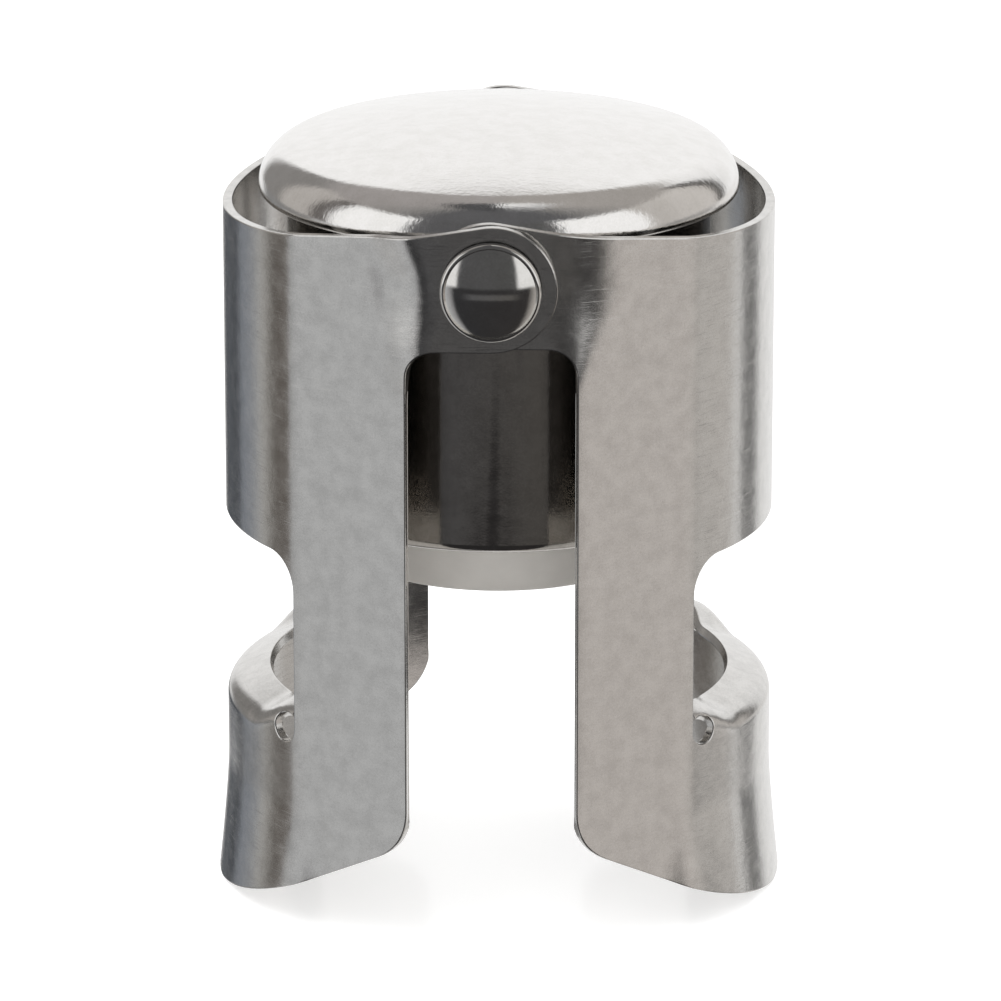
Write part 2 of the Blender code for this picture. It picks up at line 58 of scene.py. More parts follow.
# Cup and dome
CUP_RADIUS = 0.0172
CUP_WALL = 0.0008
CUP_CORNER = 0.0015
MOUTH_HEIGHT = 0.0323
MOUTH_CURL = 0.0009
DOME_OVERHANG = 0.0019
DOME_WALL = 0.0008
DOME_DEPTH = 0.0055
DOME_SHOULDER = 0.0035
DOME_FULLNESS = 0.00035       # the pressed cap is that much fuller than its solid

# Rivets and bushes
PIVOT_HEIGHT = 0.0557
SHANK_RADIUS = 0.0014
BUSH_WALL = 0.0005
BUSH_CHAMFER = 0.00012
HEAD_RADIUS = 0.0040
HEAD_EDGE = 0.0005
HEAD_CROWN = 0.0010
HEAD_ROUND = 0.00032          # rounded edge of the head, the bright ring round it
TAIL_RADIUS = 0.0022
TAIL_LENGTH = 0.0008

# Arms
SHEET = 0.0008
SHEET_EDGE = 0.00018          # edge of the cut sheet, rounded by tumbling
EAR_RADIUS = 0.0051
CORNER_RADIUS = 0.0060
FOLD_RADIUS = 0.0050          # the solid's, by which stations are measured
LEG_FOLD_RADIUS = 0.0006
RIM_FOLD_RADIUS = 0.0140
RIM_FOLD_END = 0.0028         # from the pivot line
FOLD_FADE = 0.0040            # below the window's top
SIDE_ARC_ANGLE = math.radians(42.5)
CORNER_ANGLE = math.radians(15.0)
EAR_PLANE_SHARE = 0.96
RIM_TILT = math.radians(9.3)
WINDOW_HALF_WIDTH = 0.0067
WINDOW_CORNER = 0.0022
SIDE_EDGE_HEIGHT = 0.0314
SIDE_CORNER = 0.0030
RELIEF_HEIGHT = 0.0168
RELIEF_RADIUS = 0.00125
FOOT_SLOPE = math.radians(30.6)
FOOT_FLAT = 0.0040
FOOT_CORNER = 0.0050
FLARE = 0.00085
FLARE_HEIGHT = 0.0100
FLARE_FADE = 0.0050           # length over which the flare runs out at the leg
FLARE_FADE_LEAD = 0.4         # share of that length that comes before the leg
FLARE_BEND = 1.3              # power that softens the flare's start
LIP_HEIGHT = 0.0153
LIP_BEND = 0.0016
LIP_ANGLE = math.radians(68.0)
LIP_LENGTH = 0.0046
LIP_CORNER = 0.0012
LIP_SLIT = 0.0005
LIP_LEVEL_SHARE = 0.65
JOGGLE_RUN = 0.0042
JOGGLE_DROP = 0.0050
JOGGLE_CLEAR = 0.0016
JOGGLE_LATE = 0.0019          # nearer to the eye by this much at the pivot and below
NUDGE_SHARE = 0.05

# Plunger, seal and spring
PLUNGER_TRAVEL = 0.0050
PLUNGER_WALL = 0.0014
PLUNGER_FLOOR = 0.0024
SEAT_RING_HEIGHT = 0.0015
SEAT_RING_WALL = 0.0016
SEAL_DROP = 0.0046
SEAL_NOSE_RADIUS = 0.0127
SEAL_EDGE = 0.0008
STUD_RADIUS = 0.0036
STUD_HEAD_RADIUS = 0.0050
STUD_HEAD_HEIGHT = 0.0014
SPRING_RADIUS = 0.0095
WIRE_RADIUS = 0.0006
SPRING_TURNS = 6.0
CLOSED_TURNS = 1.0            # at each end of the spring
CLOSED_PITCH = 2.05           # rise of a closed turn, in radii of the wire

# Steps
ROUND_STEPS = 160
SMALL_ROUND_STEPS = 64
ARC_STEPS = 10
COLUMN_STEP = 0.00055
ROW_STEP = 0.0007
SPRING_STEPS = 40
WIRE_STEPS = 16
MERGE_DISTANCE = 1e-7
WELD_DISTANCE = 2e-6
LIP_ROWS = 16
CUTTER_OVERRUN = 0.0100
CREASE = 48.0                 # degrees from which an edge is shaded sharp
SHEET_CREASE = 20.0           # the same on the arms, between flat sheet and cut edge

# Patterns of the metal. The real grain and scratches are a few hundredths of a millimetre
# wide, too fine to show, so they are drawn as coarse as they need to show.
CLOUD_SIZE = 0.0016           # mottling left by tumbling and polishing
SPECK_SIZE = 0.00016
SCRATCH_LENGTH = 0.0040
SCRATCH_WIDTH = 0.00010
MOULD_CLOUD_SIZE = 0.0040     # uneven tone of a moulded part

# Sizes that follow from those above
EYE_RADIUS = SHANK_RADIUS + RUNNING_GAP
BUSH_RADIUS = EYE_RADIUS + BUSH_WALL
DOME_RADIUS = CUP_RADIUS + DOME_OVERHANG
DOME_EDGE_HEIGHT = PIVOT_HEIGHT + BUSH_RADIUS + RUNNING_GAP
DOME_INNER_SHOULDER = DOME_SHOULDER - DOME_WALL
CUP_TOP = DOME_EDGE_HEIGHT + DOME_WALL / 2 + DOME_INNER_SHOULDER - RUNNING_GAP
CUP_INNER_RADIUS = CUP_RADIUS - CUP_WALL
MOUTH_RADIUS = CUP_INNER_RADIUS - MOUTH_CURL
SHELL_RADIUS = DOME_RADIUS + SWING_GAP + SHEET
EAR_PLANE = SHELL_RADIUS * EAR_PLANE_SHARE
JOGGLE = SHEET + RUNNING_GAP
HEAD_SEAT = EAR_PLANE + JOGGLE + RUNNING_GAP
WINDOW_TOP = PIVOT_HEIGHT - EAR_RADIUS
PLUNGER_RADIUS = CUP_INNER_RADIUS - RUNNING_GAP
PLUNGER_BOTTOM = MOUTH_HEIGHT + CUP_WALL + RUNNING_GAP
PLUNGER_TOP = PIVOT_HEIGHT - TAIL_RADIUS - RUNNING_GAP - PLUNGER_TRAVEL
FLOOR_TOP = PLUNGER_BOTTOM + PLUNGER_FLOOR
SEAL_RADIUS = MOUTH_RADIUS - RUNNING_GAP
SEAL_BOTTOM = MOUTH_HEIGHT - SEAL_DROP
SPRING_BOTTOM = FLOOR_TOP + RUNNING_GAP + WIRE_RADIUS
SPRING_TOP = CUP_TOP - CUP_WALL - RUNNING_GAP - WIRE_RADIUS


def linear(hex_colour):
    """An sRGB hex colour as linear red, green, blue and alpha."""
    shares = [int(hex_colour[i:i + 2], 16) / 255 for i in (1, 3, 5)]
    return [s / 12.92 if s <= 0.04045 else ((s + 0.055) / 1.055) ** 2.4 for s in shares] + [1.0]


def add(tree, kind, settings=None, links=None):
    """A node with its settings, whose sockets are joined to the nodes or sockets given."""
    made = tree.nodes.new(kind)
    for key, value in (settings or {}).items():
        if key == "stops":
            elements = made.color_ramp.elements
            while len(elements) < len(value):
                elements.new(1.0)
            for element, (position, colour) in zip(elements, value):
                element.position = position
                element.color = linear(colour)
        elif isinstance(key, str) and key.islower():
            setattr(made, key, value)
        else:
            made.inputs[key].default_value = value
    for key, source in (links or {}).items():
        socket = source.outputs[0] if isinstance(source, bpy.types.Node) else source
        tree.links.new(socket, made.inputs[key])
    return made


# Studio

def add_camera():
    """Long lens, almost 18 degrees above the table and a little to the right of the rivet."""
    azimuth, elevation, distance = math.radians(1.6), math.radians(17.7), 0.6
    back = Vector((math.sin(azimuth) * math.cos(elevation),
                   -math.cos(azimuth) * math.cos(elevation), math.sin(elevation)))
    data = bpy.data.cameras.new("camera")
    data.lens = 263.25
    data.sensor_width = 36.0
    data.clip_end = 10.0
    camera = bpy.data.objects.new("camera", data)
    bpy.context.scene.collection.objects.link(camera)
    camera.location = Vector((0.00013, 0.0, 0.0314)) + back * distance
    camera.rotation_mode = "QUATERNION"
    camera.rotation_quaternion = (-back).to_track_quat("-Z", "Y")
    bpy.context.scene.camera = camera


def turn_stops(stops):
    """Stops given by their bearing in degrees from the camera, as shares of a full turn."""
    return [(0.5 + degrees / 360, colour) for degrees, colour in stops]


def tilt_stops(stops):
    """Stops given by their elevation in degrees, as shares of a half turn."""
    return [(0.5 + degrees / 180, colour) for degrees, colour in stops]


# What the steel sees, by bearing from the camera, at five elevations. Below the horizon lie
# the table and the dark room in front of it, with darker side cards in the two bands that
# the feet see. At the horizon stand two softboxes and white cloth behind, and higher up
# come the grey room and its ceiling.
TABLE_SET = turn_stops([
    (-180, "#FFFFFF"), (-168, "#F2F2F2"), (-164, "#4A4C50"), (-152, "#5A5E64"),
    (-140, "#3E4044"), (-136, "#8C929C"), (-122, "#9CA0A6"), (-118, "#CCCCCA"),
    (-112, "#B4B2AE"), (-108, "#5E5852"), (-94, "#6A625C"), (-89, "#B4B6B8"),
    (-62, "#C8CACC"), (-54, "#A4A4A6"), (-48, "#38383A"), (-38, "#3C3C3E"),
    (-24, "#626264"), (24, "#646260"), (38, "#3E3C3C"), (47, "#3A3838"), (54, "#A8A4A0"),
    (62, "#D4CECA"), (88, "#CCC8C4"), (94, "#DAD6D2"), (116, "#D2CECA"), (119, "#FFFFFF"),
    (123, "#FFFFFF"), (125, "#6A6A6A"), (138, "#7A7A7A"), (142, "#F8F8F8"),
    (180, "#FFFFFF"),
])
FOOT_SET = turn_stops([
    (-180, "#FFFFFF"), (-152, "#F0F0F0"), (-144, "#888888"), (-102, "#888684"),
    (-90, "#C0C0C0"), (-62, "#C8CACC"), (-54, "#A4A4A6"), (-48, "#38383A"), (47, "#3A3838"),
    (54, "#A8A4A0"), (62, "#D4CECA"), (80, "#CCC8C4"), (88, "#959492"), (102, "#959492"),
    (108, "#A6A4A2"), (120, "#A6A4A2"), (130, "#E6E4E2"), (180, "#FFFFFF"),
])
HORIZON_SET = turn_stops([
    (-180, "#FFFFFF"), (-157, "#FFFFFF"), (-151, "#888684"), (-128, "#888684"),
    (-121, "#B8B4B0"), (-101, "#B4B0AC"), (-97, "#6A6664"), (-88, "#6A6664"),
    (-84, "#FFFFFF"), (-46, "#FFFFFF"), (-42, "#58585A"), (30, "#585858"), (34, "#FFFFFF"),
    (76, "#FFFFFF"), (80, "#BCB8B4"), (112, "#CCC8C4"), (127, "#CCC8C4"), (129, "#5A5856"),
    (134, "#5A5856"), (139, "#F4F4F4"), (160, "#FFFFFF"), (180, "#FFFFFF"),
])
ROOM_SET = turn_stops([
    (-180, "#A4A09E"), (-90, "#9E9A98"), (-60, "#8A8886"), (-40, "#5C5C5E"), (40, "#5C5C5E"),
    (60, "#8A8886"), (90, "#A6A29E"), (180, "#A6A29E"),
])

# Elevations at which one set gives way to the next
FOOT_TILT = tilt_stops([(-21.0, "#FFFFFF"), (-19.3, "#000000"), (-14.5, "#000000"),
                        (-12.0, "#FFFFFF")])
HORIZON_TILT = tilt_stops([(-8.0, "#000000"), (-5.0, "#FFFFFF")])
ROOM_TILT = tilt_stops([(40, "#000000"), (46, "#FFFFFF")])
CEILING_TILT = tilt_stops([(74, "#000000"), (80, "#FFFFFF")])
CEILING_SET = turn_stops([(0, "#4A4A4C")])

FLOOR_HALF_SIZE = 4.0
FLOOR_DROP = 0.00002          # below the feet, so that the two don't share a plane
FLOOR_GLOW = 0.50             # light of its own that brings the table near to white


def add_world():
    """A white surround for the eye, an even pale light, and a photo studio for the metal."""
    world = bpy.data.worlds.new("studio")
    world.use_nodes = True
    bpy.context.scene.world = world
    tree = world.node_tree
    tree.nodes.clear()
    way = add(tree, "ShaderNodeTexCoord").outputs["Generated"]
    parts = add(tree, "ShaderNodeSeparateXYZ", None, {0: way})
    ahead = add(tree, "ShaderNodeMath", {"operation": "MULTIPLY", 1: -1.0},
                {0: parts.outputs["Y"]})
    bearing = add(tree, "ShaderNodeMath", {"operation": "ARCTAN2"},
                  {0: parts.outputs["X"], 1: ahead})
    turn = add(tree, "ShaderNodeMath", {"operation": "MULTIPLY_ADD", 1: 1 / math.tau, 2: 0.5},
               {0: bearing})
    rise = add(tree, "ShaderNodeMath", {"operation": "ARCSINE"}, {0: parts.outputs["Z"]})
    tilt = add(tree, "ShaderNodeMath", {"operation": "MULTIPLY_ADD", 1: 1 / math.pi, 2: 0.5},
               {0: rise})
    studio = add(tree, "ShaderNodeValToRGB", {"stops": TABLE_SET}, {0: turn})
    for bearings, tilts in ((FOOT_SET, FOOT_TILT), (HORIZON_SET, HORIZON_TILT),
                            (ROOM_SET, ROOM_TILT), (CEILING_SET, CEILING_TILT)):
        wall = add(tree, "ShaderNodeValToRGB", {"stops": bearings}, {0: turn})
        share = add(tree, "ShaderNodeValToRGB", {"stops": tilts}, {0: tilt})
        below = studio.outputs[2] if studio.bl_idname == "ShaderNodeMix" else studio
        studio = add(tree, "ShaderNodeMix", {"data_type": "RGBA"}, {0: share, 6: below, 7: wall})
    path = add(tree, "ShaderNodeLightPath")
    lit = add(tree, "ShaderNodeMix", {"data_type": "RGBA", 6: linear("#FFFFFF")},
              {0: path.outputs["Is Glossy Ray"], 7: studio.outputs[2]})
    seen = add(tree, "ShaderNodeMath", {"operation": "MAXIMUM"},
               {0: path.outputs["Is Camera Ray"], 1: path.outputs["Is Transmission Ray"]})
    shown = add(tree, "ShaderNodeMix", {"data_type": "RGBA", 7: linear("#FFFFFF")},
                {0: seen, 6: lit.outputs[2]})
    background = add(tree, "ShaderNodeBackground", {"Strength": 1.0}, {0: shown.outputs[2]})
    add(tree, "ShaderNodeOutputWorld", None, {0: background})


def add_floor():
    """White table with a faint gloss. The metal doesn't see it, but the cards round it."""
    bm = bmesh.new()
    bmesh.ops.create_grid(bm, x_segments=1, y_segments=1, size=FLOOR_HALF_SIZE)
    mesh = bpy.data.meshes.new("floor")
    bm.to_mesh(mesh)
    bm.free()
    floor = bpy.data.objects.new("floor", mesh)
    bpy.context.scene.collection.objects.link(floor)
    floor.location.z = -FLOOR_DROP
    floor.visible_glossy = False

    material = bpy.data.materials.new("white_acrylic_table")
    material.use_nodes = True
    tree = material.node_tree
    tree.nodes.clear()
    path = add(tree, "ShaderNodeLightPath")
    glow = add(tree, "ShaderNodeMath", {"operation": "MULTIPLY", 1: FLOOR_GLOW},
               {0: path.outputs["Is Camera Ray"]})
    shader = add(tree, "ShaderNodeBsdfPrincipled",
                 {"Base Color": linear("#F2F2F2"), "Roughness": 0.12, "IOR": 1.45,
                  "Emission Color": linear("#FFFFFF")},
                 {"Emission Strength": glow})
    add(tree, "ShaderNodeOutputMaterial", None, {0: shader})
    mesh.materials.append(material)


def add_lamp():
    """Large soft lamp above and to the left, for the shading of the plug and the table."""
    data = bpy.data.lights.new("softbox", "AREA")
    data.shape = "RECTANGLE"
    data.size, data.size_y = 0.6, 0.4
    data.energy = 1.2
    lamp = bpy.data.objects.new("softbox", data)
    bpy.context.scene.collection.objects.link(lamp)
    lamp.location = (-0.35, -0.25, 0.75)
    lamp.rotation_mode = "QUATERNION"
    lamp.rotation_quaternion = (-lamp.location).to_track_quat("-Z", "Y")
    lamp.visible_glossy = False


# Materials. Patterns are given in metres by the size of their grains.

def per(size):
    """Scale of a texture whose grains have that size."""
    return 1.0 / size


def steel(name, light, dark, roughness, grain, grain_depth, peel, peel_depth, surface=None,
          scratch_share=0.5):
    """Stainless steel: tone mottled in clouds, fine grain, orange peel and hair scratches."""
    material = bpy.data.materials.new(name)
    material.use_nodes = True
    tree = material.node_tree
    tree.nodes.clear()
    if surface:
        place = add(tree, "ShaderNodeAttribute", {"attribute_name": surface}).outputs["Vector"]
    else:
        place = add(tree, "ShaderNodeTexCoord").outputs["Object"]
    clouds = add(tree, "ShaderNodeTexNoise", {"Scale": per(CLOUD_SIZE), "Detail": 5.0,
                                              "Roughness": 0.62}, {"Vector": place})
    specks = add(tree, "ShaderNodeTexNoise", {"Scale": per(SPECK_SIZE), "Detail": 2.0},
                 {"Vector": place})
    mottle = add(tree, "ShaderNodeMix", {"data_type": "FLOAT", 0: 0.35},
                 {2: clouds, 3: specks})
    tone = add(tree, "ShaderNodeValToRGB", {"stops": [(0.38, dark), (0.60, light)]},
               {0: mottle.outputs[0]})

    scratch_scale = (per(SCRATCH_LENGTH), per(SCRATCH_WIDTH), per(SCRATCH_LENGTH))
    scratches = None
    for turn, seed in ((12, 0.0), (64, 3.0), (118, 7.0), (155, 11.0)):
        laid = add(tree, "ShaderNodeMapping",
                   {"Location": (seed, seed, 0.0), "Rotation": (0.0, 0.0, math.radians(turn)),
                    "Scale": scratch_scale}, {"Vector": place})
        lines = add(tree, "ShaderNodeTexNoise", {"Scale": 1.0, "Detail": 1.0}, {"Vector": laid})
        if scratches is None:
            scratches = lines
        else:
            scratches = add(tree, "ShaderNodeMath", {"operation": "MAXIMUM"},
                            {0: scratches, 1: lines})
    hairs = add(tree, "ShaderNodeMapRange", {"From Min": 0.66, "From Max": 0.80},
                {"Value": scratches})
    uneven = add(tree, "ShaderNodeMapRange",
                 {"From Min": 0.30, "From Max": 0.70, "To Min": roughness * 0.86,
                  "To Max": roughness * 1.14}, {"Value": clouds})
    worn = add(tree, "ShaderNodeMath", {"operation": "MULTIPLY_ADD", 1: 0.10 * scratch_share},
               {0: hairs, 2: uneven})

    waves = add(tree, "ShaderNodeTexNoise", {"Scale": per(peel), "Detail": 1.5},
                {"Vector": place})
    bumps = add(tree, "ShaderNodeBump", {"Strength": 1.0, "Distance": peel_depth},
                {"Height": waves})
    fine = add(tree, "ShaderNodeTexNoise", {"Scale": per(grain), "Detail": 2.0},
               {"Vector": place})
    scored = add(tree, "ShaderNodeMath", {"operation": "MULTIPLY_ADD", 1: -scratch_share},
                 {0: hairs, 2: fine})
    relief = add(tree, "ShaderNodeBump", {"Strength": 1.0, "Distance": grain_depth},
                 {"Height": scored, "Normal": bumps})
    shader = add(tree, "ShaderNodeBsdfPrincipled", {"Metallic": 1.0},
                 {"Base Color": tone, "Roughness": worn, "Normal": relief})
    add(tree, "ShaderNodeOutputMaterial", None, {0: shader})
    return material


def moulded(name, light, dark, roughness, ior, grain, grain_depth, sheen=0.0):
    """Moulded rubber or plastic: an even colour with the fine texture of its mould."""
    material = bpy.data.materials.new(name)
    material.use_nodes = True
    tree = material.node_tree
    tree.nodes.clear()
    place = add(tree, "ShaderNodeTexCoord").outputs["Object"]
    clouds = add(tree, "ShaderNodeTexNoise", {"Scale": per(MOULD_CLOUD_SIZE), "Detail": 4.0},
                 {"Vector": place})
    tone = add(tree, "ShaderNodeValToRGB", {"stops": [(0.35, dark), (0.65, light)]},
               {0: clouds})
    fine = add(tree, "ShaderNodeTexNoise", {"Scale": per(grain), "Detail": 3.0},
               {"Vector": place})
    matt = add(tree, "ShaderNodeMapRange",
               {"From Min": 0.30, "From Max": 0.70, "To Min": roughness - 0.05,
                "To Max": roughness + 0.05}, {"Value": fine})
    relief = add(tree, "ShaderNodeBump", {"Strength": 1.0, "Distance": grain_depth},
                 {"Height": fine})
    shader = add(tree, "ShaderNodeBsdfPrincipled", {"IOR": ior, "Sheen Weight": sheen},
                 {"Base Color": tone, "Roughness": matt, "Normal": relief})
    add(tree, "ShaderNodeOutputMaterial", None, {0: shader})
    return material


# Shapes

def arc(centre, radius, start, end, steps=ARC_STEPS):
    """Points of an arc about a centre, both ends included."""
    turns = [start + (end - start) * i / steps for i in range(steps + 1)]
    return [(centre[0] + radius * math.cos(t), centre[1] + radius * math.sin(t)) for t in turns]


def rounded_corner(before, apex, after, radius, steps=ARC_STEPS):
    """The arc that rounds the corner at apex, from the side of before to that of after."""
    apex = Vector(apex)
    back = (Vector(before) - apex).normalized()
    ahead = (Vector(after) - apex).normalized()
    half = back.angle(ahead) / 2
    centre = apex + (back + ahead).normalized() * (radius / math.sin(half))
    start = apex + back * (radius / math.tan(half)) - centre
    end = apex + ahead * (radius / math.tan(half)) - centre
    first = math.atan2(start.y, start.x)
    turn = math.atan2(start.x * end.y - start.y * end.x, start.dot(end))
    return arc(centre, radius, first, first + turn, steps)


def piece_from(bm, name, body, node, material, weighted=True, crease=CREASE):
    """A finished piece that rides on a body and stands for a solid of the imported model."""
    bmesh.ops.recalc_face_normals(bm, faces=bm.faces)
    mesh = bpy.data.meshes.new(name)
    bm.to_mesh(mesh)
    bm.free()
    mesh.shade_smooth()
    mesh.set_sharp_from_angle(angle=math.radians(crease))
    mesh.materials.append(material)
    piece = bpy.data.objects.new(name, mesh)
    bpy.context.scene.collection.objects.link(piece)
    if weighted:
        shading = piece.modifiers.new("weighted_normals", "WEIGHTED_NORMAL")
        shading.keep_sharp = True
    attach(piece, body)
    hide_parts(node)
    return piece


def turned(outline, steps=ROUND_STEPS):
    """A closed outline of (radius, height) points, turned about Z."""
    bm = bmesh.new()
    verts = [bm.verts.new((radius, 0.0, height)) for radius, height in outline]
    loop = [bm.edges.new((verts[i - 1], verts[i])) for i in range(len(verts))]
    profile = [edge for edge in loop if any(v.co.x != 0.0 for v in edge.verts)]
    bmesh.ops.spin(bm, geom=verts + profile, axis=(0, 0, 1), cent=(0, 0, 0),
                   angle=math.tau, steps=steps, use_merge=True)
    bmesh.ops.delete(bm, geom=[e for e in bm.edges if not e.link_faces], context="EDGES")
    bmesh.ops.remove_doubles(bm, verts=bm.verts, dist=MERGE_DISTANCE)
    return bm


def laid_on_pivot(bm, turn):
    """Lay a shape turned about Z along the pivot line, towards the front or the back."""
    matrix = Matrix.Translation((0.0, 0.0, PIVOT_HEIGHT)) @ Matrix.Rotation(turn, 4, "X")
    bmesh.ops.transform(bm, matrix=matrix, verts=bm.verts)
    return bm


# The arm's sheet is drawn flat and then formed. A point of the flat sheet has a station,
# its distance along the plan from the middle of the round side, a height, and a depth
# into the sheet from its outer face.

def ease(share):
    """A smooth step from 0 to 1."""
    share = min(max(share, 0.0), 1.0)
    return share * share * (3 - 2 * share)


def fold_radius(height):
    """Fold between leg and ear: crisp down the leg, and wide where it runs out at the rim."""
    share = ease((height - WINDOW_TOP + FOLD_FADE) / (EAR_RADIUS + FOLD_FADE))
    return LEG_FOLD_RADIUS + (RIM_FOLD_RADIUS - LEG_FOLD_RADIUS) * share


def plan_stretches(fold=FOLD_RADIUS):
    """Stretches of the plan as (length, radius), a radius of zero being straight."""
    turned_by = SIDE_ARC_ANGLE + CORNER_ANGLE
    reach = SHELL_RADIUS * math.sin(SIDE_ARC_ANGLE)
    reach += CORNER_RADIUS * (math.sin(turned_by) - math.sin(SIDE_ARC_ANGLE))
    fold_reach = fold * (1 - math.sin(turned_by))
    lengths = (SHELL_RADIUS * SIDE_ARC_ANGLE, CORNER_RADIUS * CORNER_ANGLE,
               (EAR_PLANE - reach - fold_reach) / math.cos(turned_by),
               fold * (math.pi / 2 - turned_by), 2 * SHELL_RADIUS)
    return list(zip(lengths, (SHELL_RADIUS, CORNER_RADIUS, 0.0, fold, 0.0)))


PLAN = plan_stretches()


def plan_at(station, plan=PLAN):
    """Place on the outer face and the angle of the outward normal, in the half where y > 0."""
    x, y, angle = SHELL_RADIUS, 0.0, 0.0
    left = station
    for length, radius in plan:
        step = min(left, length)
        if radius:
            turned_to = angle + step / radius
            x += radius * (math.cos(turned_to) - math.cos(angle))
            y += radius * (math.sin(turned_to) - math.sin(angle))
            angle = turned_to
        else:
            x -= step * math.sin(angle)
            y += step * math.cos(angle)
        left -= step
        if left <= 0.0:
            break
    return x, y, angle


def station_at(x):
    """The station whose place is x from the pivot line, found by halving."""
    low, high = 0.0, sum(length for length, _ in PLAN)
    for _ in range(50):
        middle = (low + high) / 2
        if plan_at(middle)[0] > x:
            low = middle
        else:
            high = middle
    return (low + high) / 2


EAR_FLAT_STATION = station_at(RIM_FOLD_END)
COLUMN_COUNT = round(EAR_FLAT_STATION / COLUMN_STEP)
COLUMNS = [EAR_FLAT_STATION * (i + 1) / COLUMN_COUNT for i in range(COLUMN_COUNT)]
EAR_STATION = station_at(0.0)
LEG_STATION = PLAN[0][0] + PLAN[1][0] / 3
RELIEF_STATION = LEG_STATION - RELIEF_RADIUS
LIP_END_STATION = LEG_STATION - LIP_SLIT
LIP_EDGE_HEIGHT = LIP_HEIGHT + LIP_LENGTH
JOGGLE_END = station_at(EAR_RADIUS + JOGGLE_CLEAR)


def rim_height(station):
    """The rim is a tilted plane that touches the circle of the ear."""
    x = plan_at(station)[0]
    return PIVOT_HEIGHT + EAR_RADIUS / math.cos(RIM_TILT) - x * math.tan(RIM_TILT)


def foot_height(x):
    """Lower edge of the leg and foot, a tilted plane that ends at the flat of the foot."""
    return max(0.0, math.tan(FOOT_SLOPE) * (plan_at(FOOT_FLAT)[0] - x))


def half_blank():
    """Outline of half the flat sheet, from the middle of the round side to the eye."""
    eye_centre = (EAR_STATION, PIVOT_HEIGHT)
    rim_end = station_at(EAR_RADIUS * math.sin(RIM_TILT))
    rim = [(s, rim_height(s)) for s in [0.0] + COLUMNS[::2] if s < rim_end - MERGE_DISTANCE]
    ear = arc(eye_centre, EAR_RADIUS, math.pi / 2 + RIM_TILT, math.pi / 2, 4)
    ear += arc(eye_centre, EYE_RADIUS, math.pi / 2, 3 * math.pi / 2, 2 * ARC_STEPS)
    ear.append((EAR_STATION, WINDOW_TOP))

    top = (0.0, WINDOW_TOP)
    apex = (WINDOW_HALF_WIDTH, WINDOW_TOP)
    foot_apex = (WINDOW_HALF_WIDTH, foot_height(WINDOW_HALF_WIDTH))
    leg_x = plan_at(LEG_STATION)[0]
    along_foot = (leg_x, foot_height(leg_x))
    window = rounded_corner(top, apex, foot_apex, WINDOW_CORNER)
    toe = rounded_corner(apex, foot_apex, along_foot, FOOT_CORNER)
    inner_edge = [(station_at(x), height) for x, height in window + toe]

    sole_start = station_at(toe[-1][0])
    sole = [s for s in reversed(COLUMNS[::2]) if FOOT_FLAT < s < sole_start - ROW_STEP / 2]
    sole = [(s, foot_height(plan_at(s)[0])) for s in sole]
    sole += [(FOOT_FLAT, 0.0), (0.0, 0.0)]

    lip_corner = (LIP_END_STATION, LIP_EDGE_HEIGHT)
    slit_end = math.acos((LIP_END_STATION - RELIEF_STATION) / RELIEF_RADIUS)
    lip = [(0.0, LIP_EDGE_HEIGHT)]
    lip += rounded_corner((0.0, LIP_EDGE_HEIGHT), lip_corner, (LIP_END_STATION, 0.0), LIP_CORNER)
    lip += arc((RELIEF_STATION, RELIEF_HEIGHT), RELIEF_RADIUS, slit_end, math.tau, 3 * ARC_STEPS)

    side_apex = (LEG_STATION, SIDE_EDGE_HEIGHT)
    side = rounded_corner((LEG_STATION, RELIEF_HEIGHT), side_apex, (0.0, SIDE_EDGE_HEIGHT),
                          SIDE_CORNER)
    side.append((0.0, SIDE_EDGE_HEIGHT))
    return rim + ear + inner_edge + sole + lip + side


def ear_end():
    """Outline of the rest of the ear, past the middle of the eye."""
    eye_centre = (EAR_STATION, PIVOT_HEIGHT)
    outline = arc(eye_centre, EAR_RADIUS, math.pi / 2, -math.pi / 2, 3 * ARC_STEPS)
    return outline + arc(eye_centre, EYE_RADIUS, -math.pi / 2, math.pi / 2, 2 * ARC_STEPS)


def lip_line(station):
    """Height where the lip starts to bend: level at the middle, rising to the reliefs."""
    level = RELIEF_STATION * LIP_LEVEL_SHARE
    rise = RELIEF_HEIGHT - LIP_HEIGHT
    return LIP_HEIGHT + rise * ease((station - level) / (RELIEF_STATION - level))


def lip_bend(station, height):
    """How far inwards the sheet has turned, and its height once turned."""
    line = lip_line(station)
    past_end = station > LEG_STATION - LIP_SLIT / 2
    if past_end or height <= line or height > SIDE_EDGE_HEIGHT - SIDE_CORNER:
        return 0.0, height
    run = height - line
    angle = min(run / LIP_BEND, LIP_ANGLE)
    straight = max(run - LIP_BEND * LIP_ANGLE, 0.0)
    inward = LIP_BEND * (1 - math.cos(angle)) + straight * math.sin(angle)
    return inward, line + LIP_BEND * math.sin(angle) + straight * math.cos(angle)


def flare_out(station, height):
    """The foot widens towards the table, and runs out on the leg below the relief hole."""
    fade = 1 - ease((station - LEG_STATION) / FLARE_FADE + FLARE_FADE_LEAD)
    return FLARE * fade * max(0.0, 1 - height / FLARE_HEIGHT) ** FLARE_BEND


def joggle_out(station, height):
    """Step that carries the outer ear over the inner one, nearer the eye below than above."""
    late = JOGGLE_LATE * (1 - ease((height - PIVOT_HEIGHT) / EAR_RADIUS))
    along = ease((station - JOGGLE_END - late) / JOGGLE_RUN + 1)
    up = ease((height - WINDOW_TOP) / JOGGLE_DROP + 1)
    return JOGGLE * along * up


